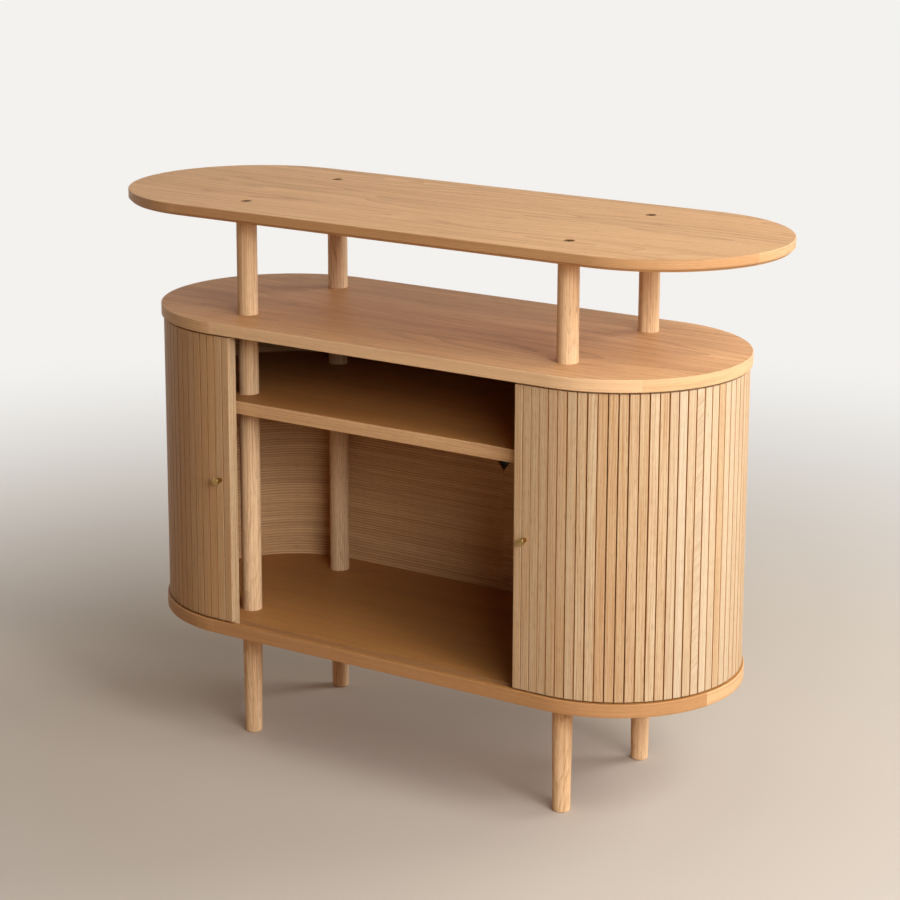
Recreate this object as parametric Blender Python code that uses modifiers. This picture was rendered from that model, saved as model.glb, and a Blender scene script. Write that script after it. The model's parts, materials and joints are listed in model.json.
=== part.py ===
# Oval cabinet with a raised top and two tambour doors that run round its ends.
# Metres. X is the length, -Y the front, +Z up; the origin is on the floor under the middle.
import math

import bmesh
import bpy
from mathutils import Matrix, Vector

# Overall sizes
HEIGHT = 0.925
DEPTH = 0.433
RAISED_LENGTH = 1.200
CASE_LENGTH = 1.068

# Boards: heights are of the upper faces
RAISED_THICK = 0.019
RAISED_CHAMFER = 0.005
CASE_TOP_HEIGHT = 0.7355
CASE_TOP_THICK = 0.020
FLOOR_HEIGHT = 0.2215
FLOOR_THICK = 0.022
SHELF_HEIGHT = 0.600
SHELF_THICK = 0.022

# Posts, turned in one piece from the floor to the raised top; their axes stand in from the ends' centres
# and from the long edges
POST_DIA = 0.034
FOOT_DIA = 0.029
FOOT_CHAMFER = 0.0015
POST_END_INSET = 0.0105
POST_SIDE_INSET = 0.0875

# Connector bolts that hold the raised top on the posts
BOLT_HEAD_DIA = 0.017
BOLT_HEAD_THICK = 0.0018
BOLT_SHANK_DIA = 0.0076
BOLT_LENGTH = 0.062
BOLT_SOCKET = 0.005
BOLT_SOCKET_DEPTH = 0.0035

# Grooves that guide the doors, in the floor board and under the case top
LIP_WIDTH = 0.010
GROOVE_WIDTH = 0.0135
GROOVE_DEPTH = 0.007

# Tambour doors: the wider gap is between groups of slats, the close one inside a group
DOOR_INSET = 0.004
SLAT_PITCH = 0.0149
SLAT_GAP = 0.00095
CLOSE_GAP = 0.0002
SLAT_THICK = 0.011
SLAT_TAPER = 0.0004
CANVAS_THICK = 0.0005
TONGUE_LENGTH = 0.0055
SHOULDER_GAP_LOW = 0.0028
SHOULDER_GAP_HIGH = 0.0033
STILE_THICK = 0.019
STILE_PITCHES = 2
STILE_GROOVE_DEPTH = 0.003
PAIR_SLATS = 2
TAIL_SLATS = 3
OPEN_STOP = 0.003
RIGHT_DOOR_AJAR = 0.0215
MEETING_GAP = 0.001
TAIL_CLEARANCE = 0.0015
STRAIGHT_TURN = 0.03

# Knobs and their screws
KNOB_SETBACK = 0.0207
KNOB_HEAD_DIA = 0.013
KNOB_RIM = 0.0025
KNOB_NECK_DIA = 0.008
KNOB_LENGTH = 0.015
SCREW_DIA = 0.004
SCREW_HEAD_DIA = 0.008
SCREW_HEAD_THICK = 0.0022
SCREW_IN_KNOB = 0.009

# Bent liner behind the doors, in two halves that meet on a stile at the middle of the back
LINER_THICK = 0.0045
LINER_RUN = 0.011
BACK_STILE_WIDTH = 0.022
CABLE_HOLE_WIDTH = 0.024
CABLE_HOLE_TALL = 0.032
CABLE_HOLE_HEIGHT = 0.453
STILE_HOLE_WIDTH = 0.015
STILE_HOLE_TALL = 0.020

# Clearances
FIT = 0.0003
TONGUE_FIT = 0.0005
SEAM = 0.0004

# Roundness
ARC_STEPS = 28
POST_STEPS = 24
SMALL_STEPS = 16
HEX_SIDES = 6

# Worked out from the sizes above
case_radius = DEPTH / 2
tangent = (CASE_LENGTH - DEPTH) / 2
post_x = tangent - POST_END_INSET
post_y = case_radius - POST_SIDE_INSET
raised_low = HEIGHT - RAISED_THICK
case_low = CASE_TOP_HEIGHT - CASE_TOP_THICK
floor_low = FLOOR_HEIGHT - FLOOR_THICK
shelf_low = SHELF_HEIGHT - SHELF_THICK
door_face = case_radius - DOOR_INSET
canvas_face = door_face - SLAT_THICK
neutral = canvas_face - CANVAS_THICK
groove_outer = case_radius - LIP_WIDTH
groove_inner = groove_outer - GROOVE_WIDTH
tongue_outer = groove_outer - TONGUE_FIT
stile_back = door_face - STILE_THICK
liner_outer = neutral - LINER_RUN
liner_inner = liner_outer - LINER_THICK
shoulder_low = FLOOR_HEIGHT + SHOULDER_GAP_LOW
shoulder_high = case_low - SHOULDER_GAP_HIGH
knob_height = (FLOOR_HEIGHT + case_low) / 2
rear_tangent = tangent + math.pi * neutral
rear_middle = rear_tangent + tangent

# Leading edges at rest, measured from the middle of the front
stile_width = STILE_PITCHES * SLAT_PITCH
left_edge = tangent - stile_width - OPEN_STOP
right_edge = left_edge - RIGHT_DOOR_AJAR
left_travel = left_edge - MEETING_GAP / 2
right_travel = right_edge - MEETING_GAP / 2

# How many slats come onto the straight, stay on the end and trail along the back
pair_width = PAIR_SLATS * SLAT_PITCH
tail_width = TAIL_SLATS * SLAT_PITCH
slats_start = left_edge + stile_width
pair_count = math.floor((tangent + left_travel - slats_start) / pair_width + 0.5)
end_start = slats_start + pair_count * pair_width
end_count = math.floor((rear_tangent - end_start) / SLAT_PITCH)
tail_start = end_start + end_count * SLAT_PITCH
tail_room = rear_middle - BACK_STILE_WIDTH / 2 - TAIL_CLEARANCE - tail_start
tail_count = math.floor(tail_room / tail_width)


def clear_scene():
    for old in list(bpy.data.objects):
        bpy.data.objects.remove(old, do_unlink=True)


def new_collection(name):
    collection = bpy.data.collections.new(name)
    bpy.context.scene.collection.children.link(collection)
    return collection


def finish(name, color, roughness, metallic=0.0):
    material = bpy.data.materials.new(name)
    material.use_nodes = True
    shader = material.node_tree.nodes["Principled BSDF"]
    shader.inputs["Base Color"].default_value = (*color, 1.0)
    shader.inputs["Roughness"].default_value = roughness
    shader.inputs["Metallic"].default_value = metallic
    return material


def add_part(name, mesh, material, origin=(0.0, 0.0, 0.0)):
    # The mesh comes in place; the object's origin goes to its joint axis
    part = bpy.data.objects.new(name, mesh)
    for vertex in mesh.vertices:
        vertex.co -= Vector(origin)
    part.location = origin
    mesh.materials.append(material)
    parts.objects.link(part)
    return part


def add_cutter(name, mesh):
    cutter = bpy.data.objects.new(name, mesh)
    cutter.hide_render = True
    cutter.display_type = "WIRE"
    cutters.objects.link(cutter)
    return cutter


def cut(part, *tools):
    for tool in tools:
        boolean = part.modifiers.new("Cut " + tool.name, "BOOLEAN")
        boolean.operation = "DIFFERENCE"
        boolean.solver = "EXACT"
        boolean.object = tool


def stadium(straight, radius):
    # Points of an outline with two straight sides and two half-round ends
    points = []
    for side in (1, -1):
        for step in range(ARC_STEPS + 1):
            angle = -math.pi / 2 + math.pi * step / ARC_STEPS
            points.append((side * (straight + radius * math.cos(angle)), side * radius * math.sin(angle)))
    return points


def plate(name, outlines, low, high):
    # A flat outline, with any inner outlines as openings, as a closed mesh between two heights
    curve = bpy.data.curves.new(name, "CURVE")
    curve.dimensions = "2D"
    curve.fill_mode = "BOTH"
    curve.extrude = (high - low) / 2
    for outline in outlines:
        spline = curve.splines.new("POLY")
        spline.points.add(len(outline) - 1)
        for point, (x, y) in zip(spline.points, outline):
            point.co = (x, y, 0.0, 1.0)
        spline.use_cyclic_u = True
    shape = bpy.data.objects.new(name, curve)
    bpy.context.scene.collection.objects.link(shape)
    bpy.context.view_layer.update()
    evaluated = shape.evaluated_get(bpy.context.evaluated_depsgraph_get())
    mesh = bpy.data.meshes.new_from_object(evaluated)
    bpy.data.objects.remove(shape, do_unlink=True)
    bm = bmesh.new()
    bm.from_mesh(mesh)
    bmesh.ops.remove_doubles(bm, verts=bm.verts[:], dist=1e-6)
    bmesh.ops.translate(bm, verts=bm.verts[:], vec=(0.0, 0.0, (low + high) / 2))
    bmesh.ops.recalc_face_normals(bm, faces=bm.faces[:])
    bm.to_mesh(mesh)
    bm.free()
    return mesh


def rod(name, radius, low, high, x=0.0, y=0.0, steps=POST_STEPS, across=False):
    # An upright cylinder, or one that runs along Y between two depths
    bm = bmesh.new()
    bmesh.ops.create_cone(bm, cap_ends=True, segments=steps, radius1=radius, radius2=radius,
                          depth=high - low)
    for vertex in bm.verts:
        along = vertex.co.z + (low + high) / 2
        if across:
            vertex.co = (x + vertex.co.x, along, y + vertex.co.y)
        else:
            vertex.co = (x + vertex.co.x, y + vertex.co.y, along)
    bm.normal_update()
    bmesh.ops.recalc_face_normals(bm, faces=bm.faces[:])
    mesh = bpy.data.meshes.new(name)
    bm.to_mesh(mesh)
    bm.free()
    return mesh


def turned(name, profile, material, place, steps, tilt=0.0):
    # A profile of (radius, height) points, from the axis round its outer side, spun about Z
    mesh = bpy.data.meshes.new(name)
    edges = [(i, i + 1) for i in range(len(profile) - 1)]
    mesh.from_pydata([(radius, 0.0, height) for radius, height in profile], edges, [])
    mesh.materials.append(material)
    part = bpy.data.objects.new(name, mesh)
    part.location = place
    part.rotation_euler = (tilt, 0.0, 0.0)
    parts.objects.link(part)
    screw = part.modifiers.new("Turn", "SCREW")
    screw.steps = steps
    screw.render_steps = steps
    screw.use_merge_vertices = True
    screw.merge_threshold = 0.00001
    screw.use_smooth_shade = True
    return part


def track_point(distance):
    # A point of the canvas line and its turn, for a distance along the track from the middle of the front
    if distance <= tangent:
        return distance, -neutral, 0.0
    if distance <= rear_tangent:
        turn = (distance - tangent) / neutral
        return tangent + neutral * math.sin(turn), -neutral * math.cos(turn), turn
    return tangent - (distance - rear_tangent), neutral, math.pi


def turning_point(distance, travel):
    # The pole about which a group turns from its rest place to its closed place, and how far it turns;
    # a group that hardly turns slides instead, and keeps its own place
    x0, y0, turn0 = track_point(distance)
    x1, y1, turn1 = track_point(distance - travel)
    turned_by = turn1 - turn0
    if abs(turned_by) < STRAIGHT_TURN:
        return (x0, y0), 0.0
    half = 1 / (2 * math.tan(turned_by / 2))
    pole_x = (x0 + x1) / 2 - half * (y1 - y0)
    pole_y = (y0 + y1) / 2 + half * (x1 - x0)
    return (pole_x, pole_y), turned_by


def raise_ends(bm, row, tongue_low, tongue_high):
    # Stand the flat plan up between the shoulders, then draw the tongues out of both ends
    made = bmesh.ops.extrude_face_region(bm, geom=bm.faces[:])
    top = [item for item in made["geom"] if isinstance(item, bmesh.types.BMVert)]
    bmesh.ops.translate(bm, verts=top, vec=(0.0, 0.0, shoulder_high - shoulder_low))
    bm.normal_update()
    bmesh.ops.recalc_face_normals(bm, faces=bm.faces[:])
    for direction, length in ((-1, tongue_low), (1, tongue_high)):
        ends = [face for face in bm.faces if face[row] == 1 and face.normal.z * direction > 0.9]
        rims = list({edge for face in ends for edge in face.edges})
        made = bmesh.ops.extrude_face_region(bm, geom=ends + rims)
        tips = [item for item in made["geom"] if isinstance(item, bmesh.types.BMVert)]
        bmesh.ops.translate(bm, verts=tips, vec=(0.0, 0.0, direction * length))
    bm.normal_update()
    bmesh.ops.recalc_face_normals(bm, faces=bm.faces[:])


def flat_plan(columns, rows, tongue_row):
    # A grid whose faces in the tongue row are marked, to be wrapped onto the track
    bm = bmesh.new()
    row = bm.faces.layers.int.new("tongue")
    bmesh.ops.create_grid(bm, x_segments=columns, y_segments=rows, size=0.5)
    for face in bm.faces:
        cell = math.floor((face.calc_center_median().y + 0.5) * rows)
        face[row] = int(cell == tongue_row)
    return bm, row


def mesh_in_place(name, bm):
    mesh = bpy.data.meshes.new(name)
    bm.to_mesh(mesh)
    bm.free()
    return mesh


def slat_group(name, side, start, count, material, travel, tongue_low, tongue_high):
    # Slats side by side on their canvas: rows are the canvas, the tongue half and the face half
    columns = 2 * count - 1
    depths = (0.0, CANVAS_THICK, tongue_outer - neutral, door_face - neutral)
    bm, row = flat_plan(columns, len(depths) - 1, 1)
    spaces = []
    for face in bm.faces:
        centre = face.calc_center_median()
        column = math.floor((centre.x + 0.5) * columns)
        if column % 2 and centre.y > -0.5 + 1 / (len(depths) - 1):
            spaces.append(face)
    bmesh.ops.delete(bm, geom=spaces, context="FACES")
    for vertex in bm.verts:
        edge = round((vertex.co.x + 0.5) * columns)
        depth = depths[round((vertex.co.y + 0.5) * (len(depths) - 1))]
        x, y, turn = track_point(start + (edge // 2 + 0.5) * SLAT_PITCH)
        gap = SLAT_GAP if edge in (0, columns) else CLOSE_GAP
        lean = SLAT_TAPER * max(0.0, depth - CANVAS_THICK) / SLAT_THICK
        across = (2 * (edge % 2) - 1) * ((SLAT_PITCH - gap) / 2 - lean)
        across_x = across * math.cos(turn) + depth * math.sin(turn)
        across_y = across * math.sin(turn) - depth * math.cos(turn)
        vertex.co = (side * (x + across_x), y + across_y, shoulder_low)
    raise_ends(bm, row, tongue_low, tongue_high)
    (pole_x, pole_y), turned_by = turning_point(start + count * SLAT_PITCH / 2, travel)
    return add_part(name, mesh_in_place(name, bm), material, (side * pole_x, pole_y, 0.0))


def stile(name, side, edge, material):
    # The leading bar: a tongue half at the back, a face half with a slat line sunk down its middle
    line_half = SLAT_GAP / 2 + SLAT_TAPER
    middle = stile_width / 2
    lines = (0.0, middle - line_half, middle, middle + line_half, stile_width - SLAT_GAP / 2)
    depths = (stile_back, tongue_outer, door_face)
    bm, row = flat_plan(len(lines) - 1, len(depths) - 1, 0)
    for vertex in bm.verts:
        line = round((vertex.co.x + 0.5) * (len(lines) - 1))
        depth = depths[round((vertex.co.y + 0.5) * (len(depths) - 1))]
        if line == 2 and depth == door_face:
            depth -= STILE_GROOVE_DEPTH
        vertex.co = (side * (edge + lines[line]), -depth, shoulder_low)
    reach = TONGUE_LENGTH
    raise_ends(bm, row, SHOULDER_GAP_LOW + reach, SHOULDER_GAP_HIGH + reach)
    return add_part(name, mesh_in_place(name, bm), material, (side * edge, -door_face, shoulder_low))


def knob_profile():
    neck = KNOB_NECK_DIA / 2
    bore = SCREW_DIA / 2 + FIT
    depth = SCREW_IN_KNOB + FIT
    return [
        (0.0, KNOB_LENGTH),
        (KNOB_HEAD_DIA / 2 - KNOB_RIM / 4, KNOB_LENGTH),
        (KNOB_HEAD_DIA / 2, KNOB_LENGTH - KNOB_RIM / 4),
        (KNOB_HEAD_DIA / 2, KNOB_LENGTH - KNOB_RIM),
        (neck, FIT),
        (bore, FIT),
        (bore, depth),
        (0.0, depth),
    ]


def screw_profile():
    # From its tip in the knob back to its head behind the stile
    shank = SCREW_DIA / 2
    head_face = -STILE_THICK - FIT
    return [
        (0.0, SCREW_IN_KNOB),
        (shank, SCREW_IN_KNOB),
        (shank, head_face),
        (SCREW_HEAD_DIA / 2, head_face),
        (SCREW_HEAD_DIA / 2, head_face - SCREW_HEAD_THICK / 2),
        (SCREW_HEAD_DIA / 2 - SCREW_HEAD_THICK / 2, head_face - SCREW_HEAD_THICK),
        (0.0, head_face - SCREW_HEAD_THICK),
    ]


def door(label, side, edge, travel):
    bar = stile(label + "_stile", side, edge, oak_slat)
    knob_x = side * (edge + KNOB_SETBACK)
    place = (knob_x, -door_face, knob_height)
    hole = label + "_screw_hole"
    hole_radius = SCREW_DIA / 2 + FIT
    bore = rod(hole, hole_radius, -case_radius, 0.0, knob_x, knob_height, SMALL_STEPS, True)
    cut(bar, add_cutter(hole, bore))
    turned(label + "_knob", knob_profile(), brass, place, POST_STEPS, math.pi / 2)
    turned(label + "_knob_screw", screw_profile(), steel, place, SMALL_STEPS, math.pi / 2)
    # Groups that cross from the end to a straight stop just clear of the boards
    heel = (SHOULDER_GAP_LOW - FIT, SHOULDER_GAP_HIGH - FIT)
    tongue = (SHOULDER_GAP_LOW + TONGUE_LENGTH, SHOULDER_GAP_HIGH + TONGUE_LENGTH)
    start = edge + stile_width
    for number in range(pair_count):
        name = f"{label}_slats_{number + 1:02d}"
        slat_group(name, side, start, PAIR_SLATS, oak_slat, travel, *heel)
        start += pair_width
    slat_group(label + "_end_slats", side, start, end_count, oak_slat, travel, *tongue)
    start += end_count * SLAT_PITCH
    for number in range(tail_count):
        name = f"{label}_tail_slats_{number + 1}"
        slat_group(name, side, start, TAIL_SLATS, oak_slat, travel, *heel)
        start += tail_width


def oval_board(name, outline, low, high):
    return add_part(name, plate(name, [outline], low, high), oak_board)


def raised_top():
    mesh = plate("raised_top", [stadium((RAISED_LENGTH - DEPTH) / 2, case_radius)], raised_low, HEIGHT)
    bm = bmesh.new()
    bm.from_mesh(mesh)
    rim = [edge for edge in bm.edges if len(edge.link_faces) == 2
           and abs(edge.link_faces[0].normal.z - edge.link_faces[1].normal.z) > 0.5
           and edge.verts[0].co.z < HEIGHT - RAISED_THICK / 2]
    bmesh.ops.bevel(bm, geom=rim, offset=RAISED_CHAMFER, segments=1, affect="EDGES", profile=0.5,
                    material=-1)
    bm.to_mesh(mesh)
    bm.free()
    return add_part("raised_top", mesh, oak_board)


def liner(label, side):
    # From the front of one end round to the middle of the back
    angles = [math.pi * step / ARC_STEPS for step in range(ARC_STEPS + 1)]
    seam = SEAM / 2
    outline = [(tangent + liner_outer * math.sin(a), -liner_outer * math.cos(a)) for a in angles]
    outline += [(seam, liner_outer), (seam, liner_inner)]
    outline += [(tangent + liner_inner * math.sin(a), -liner_inner * math.cos(a)) for a in reversed(angles)]
    outline = [(side * x, y) for x, y in outline]
    mesh = plate("liner_" + label, [outline], FLOOR_HEIGHT + FIT, case_low - FIT)
    return add_part("liner_" + label, mesh, veneer)


def diamond(name, width, tall):
    # A four-cornered hole along Y, through the back
    corners = [(width / 2, 0.0), (0.0, tall / 2), (-width / 2, 0.0), (0.0, -tall / 2)]
    mesh = plate(name, [corners], 0.0, case_radius)
    place = Matrix.Translation((0.0, case_radius, CABLE_HOLE_HEIGHT))
    mesh.transform(place @ Matrix.Rotation(math.pi / 2, 4, "X"))
    return add_cutter(name, mesh)


def back_stile():
    # The bar that the liner halves meet on, flush with the slats that stop on either side of it
    half = BACK_STILE_WIDTH / 2
    outline = [(-half, liner_outer + FIT), (half, liner_outer + FIT), (half, door_face), (-half, door_face)]
    mesh = plate("back_stile", [outline], FLOOR_HEIGHT + FIT, case_low - FIT)
    return add_part("back_stile", mesh, oak_slat)


def post_profile():
    bore = BOLT_SHANK_DIA / 2 + FIT
    bore_end = HEIGHT - BOLT_LENGTH - 2 * FIT
    top = raised_low - FIT
    return [
        (0.0, bore_end),
        (bore, bore_end),
        (bore, top),
        (POST_DIA / 2, top),
        (POST_DIA / 2, floor_low),
        (FOOT_DIA / 2, FOOT_CHAMFER),
        (FOOT_DIA / 2 - FOOT_CHAMFER, 0.0),
        (0.0, 0.0),
    ]


def bolt_profile():
    head_top = HEIGHT - FIT
    head_low = head_top - BOLT_HEAD_THICK
    return [
        (0.0, head_top),
        (BOLT_HEAD_DIA / 2, head_top),
        (BOLT_HEAD_DIA / 2, head_low),
        (BOLT_SHANK_DIA / 2, head_low),
        (BOLT_SHANK_DIA / 2, HEIGHT - BOLT_LENGTH),
        (0.0, HEIGHT - BOLT_LENGTH),
    ]


clear_scene()
parts = new_collection("Oval tambour cabinet")
cutters = new_collection("Cutters")

oak_board = finish("Oak board", (0.52, 0.30, 0.14), 0.5)
oak_post = finish("Oak post", (0.55, 0.33, 0.16), 0.5)
oak_slat = finish("Oak slat", (0.58, 0.36, 0.18), 0.55)
veneer = finish("Oak liner veneer", (0.42, 0.22, 0.10), 0.55)
brass = finish("Brass", (0.70, 0.52, 0.26), 0.3, 1.0)
steel = finish("Bronzed steel", (0.30, 0.23, 0.16), 0.4, 1.0)

# Boards
top = raised_top()
case_outline = stadium(tangent, case_radius)
case_top = oval_board("cabinet_top", case_outline, case_low, CASE_TOP_HEIGHT)
floor = oval_board("bottom_board", case_outline, floor_low, FLOOR_HEIGHT)
shelf = oval_board("shelf", stadium(tangent, liner_inner - FIT), shelf_low, SHELF_HEIGHT)

# Door grooves
ring = [stadium(tangent, groove_outer), stadium(tangent, groove_inner)]
for board, groove, low, high in ((floor, "floor_groove", FLOOR_HEIGHT - GROOVE_DEPTH, shoulder_low),
                                 (case_top, "top_groove", shoulder_high, case_low + GROOVE_DEPTH)):
    cut(board, add_cutter(groove, plate(groove, ring, low, high)))

# Posts, their holes through the boards, and the bolts of the raised top
for depth_name, depth_side in (("front", -1), ("rear", 1)):
    for side_name, post_side in (("left", -1), ("right", 1)):
        corner = f"{depth_name}_{side_name}"
        x, y = post_side * post_x, depth_side * post_y
        turned("post_" + corner, post_profile(), oak_post, (x, y, 0.0), POST_STEPS)
        hole_radius = POST_DIA / 2 + FIT
        for board, low, high in ((case_top, case_low, CASE_TOP_HEIGHT), (floor, floor_low, FLOOR_HEIGHT),
                                 (shelf, shelf_low, SHELF_HEIGHT)):
            hole = f"{board.name}_hole_{corner}"
            cut(board, add_cutter(hole, rod(hole, hole_radius, low - FIT, high + FIT, x, y)))
        bolt = turned("top_bolt_" + corner, bolt_profile(), steel, (x, y, 0.0), POST_STEPS)
        socket = "bolt_socket_" + corner
        socket_radius = BOLT_SOCKET / math.sqrt(3)
        socket_low = HEIGHT - BOLT_SOCKET_DEPTH
        cut(bolt, add_cutter(socket, rod(socket, socket_radius, socket_low, HEIGHT, x, y, HEX_SIDES)))
        shank = "bolt_hole_" + corner
        shank_radius = BOLT_SHANK_DIA / 2 + FIT
        seat = "bolt_seat_" + corner
        seat_low = HEIGHT - BOLT_HEAD_THICK - 2 * FIT
        cut(top, add_cutter(shank, rod(shank, shank_radius, raised_low - FIT, HEIGHT + FIT, x, y)))
        cut(top, add_cutter(seat, rod(seat, BOLT_HEAD_DIA / 2 + FIT, seat_low, HEIGHT + FIT, x, y)))

# Liner halves and the stile behind their seam, with the cable hole through both
cut(back_stile(), diamond("stile_hole", STILE_HOLE_WIDTH, STILE_HOLE_TALL))
cable_hole = diamond("cable_hole", CABLE_HOLE_WIDTH, CABLE_HOLE_TALL)
for side_name, liner_side in (("left", -1), ("right", 1)):
    cut(liner(side_name, liner_side), cable_hole)

# Doors: the left one is fully open, the right one a little way from it
door("left", -1, left_edge, left_travel)
door("right", 1, right_edge, right_travel)
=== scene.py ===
# Oval oak cabinet with tambour doors: surfaces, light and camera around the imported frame
import json
import math
import random

import bmesh
import bpy
from mathutils import Matrix, Vector


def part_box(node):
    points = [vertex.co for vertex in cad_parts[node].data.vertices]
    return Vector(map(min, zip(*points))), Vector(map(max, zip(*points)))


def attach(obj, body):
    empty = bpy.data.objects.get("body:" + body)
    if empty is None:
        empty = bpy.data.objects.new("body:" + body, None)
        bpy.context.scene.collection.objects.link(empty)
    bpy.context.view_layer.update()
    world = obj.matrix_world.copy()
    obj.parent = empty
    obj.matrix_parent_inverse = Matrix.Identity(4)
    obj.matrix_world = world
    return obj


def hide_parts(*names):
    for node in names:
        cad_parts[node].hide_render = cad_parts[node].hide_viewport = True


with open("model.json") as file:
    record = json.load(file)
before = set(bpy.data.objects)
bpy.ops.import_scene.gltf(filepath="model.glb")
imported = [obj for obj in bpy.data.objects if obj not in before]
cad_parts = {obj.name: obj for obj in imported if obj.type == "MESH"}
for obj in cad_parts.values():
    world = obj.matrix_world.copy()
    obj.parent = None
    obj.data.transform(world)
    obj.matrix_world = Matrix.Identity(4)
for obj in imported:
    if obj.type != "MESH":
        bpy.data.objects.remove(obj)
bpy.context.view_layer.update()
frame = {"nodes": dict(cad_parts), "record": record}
draw = random.Random(7)
print("frame loaded:", len(frame["nodes"]), "nodes")


# Materials

def addNode(material, kind, inputs=None, **settings):
    node = material.node_tree.nodes.new(kind)
    for key, value in settings.items():
        setattr(node, key, value)
    for key, value in (inputs or {}).items():
        if isinstance(value, bpy.types.NodeSocket):
            material.node_tree.links.new(value, node.inputs[key])
        else:
            node.inputs[key].default_value = value
    return node


def newMaterial(name):
    material = bpy.data.materials.new(name)
    material.use_nodes = True
    return material, material.node_tree.nodes["Principled BSDF"]


def link(material, source, target):
    material.node_tree.links.new(source, target)


def math2(material, operation, first, second):
    return addNode(material, "ShaderNodeMath", {0: first, 1: second}, operation=operation).outputs[0]


def stretched(material, vector, scale):
    # The grain runs along X of the vector, so X is scaled least
    return addNode(material, "ShaderNodeMapping", {"Vector": vector, "Scale": scale}).outputs["Vector"]


def noise(material, vector, scale, detail=2.0, roughness=0.5):
    node = addNode(material, "ShaderNodeTexNoise",
                   {"Vector": stretched(material, vector, scale), "Scale": 1.0, "Detail": detail,
                    "Roughness": roughness})
    return node.outputs["Fac"]


def ramp(material, value, low, high, start=0.0, end=1.0):
    node = addNode(material, "ShaderNodeMapRange",
                   {"Value": value, "From Min": low, "From Max": high, "To Min": start, "To Max": end})
    return node.outputs["Result"]


def blendColors(material, factor, first, second):
    node = addNode(material, "ShaderNodeMix", data_type="RGBA")
    # By identifier, because the colour sockets carry the same names as the float ones
    sockets = {socket.identifier: socket for socket in node.inputs}
    for key, value in (("Factor_Float", factor), ("A_Color", first), ("B_Color", second)):
        if isinstance(value, bpy.types.NodeSocket):
            link(material, value, sockets[key])
        else:
            sockets[key].default_value = (*value, 1.0)
    return next(socket for socket in node.outputs if socket.identifier == "Result_Color")


def addBump(material, shader, strength, depth, height):
    bump = addNode(material, "ShaderNodeBump", {"Strength": strength, "Distance": depth, "Height": height})
    link(material, bump.outputs["Normal"], shader.inputs["Normal"])


# How each layer of the grain is cut from its noise, the same for every oak
oakLayers = {
    "plankJump": (9.0, 3.0), "earlyShare": 0.55, "earlyPower": 1.6, "patch": (0.38, 0.62), "patchLeast": 0.25,
    "tone": (0.32, 0.68), "stripeMiddle": 0.5, "stripeReach": 0.22, "fibre": (0.42, 0.75),
    "pore": (0.55, 0.64), "poreInRings": 0.7, "poreBetween": 0.3, "roughPlay": 0.14, "fibreHeight": 0.25,
    "bumpDepth": 0.0004, "specular": 0.2,
}
plainTint = 0.5  # a tint above it is warmer, and one below it lighter


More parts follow.
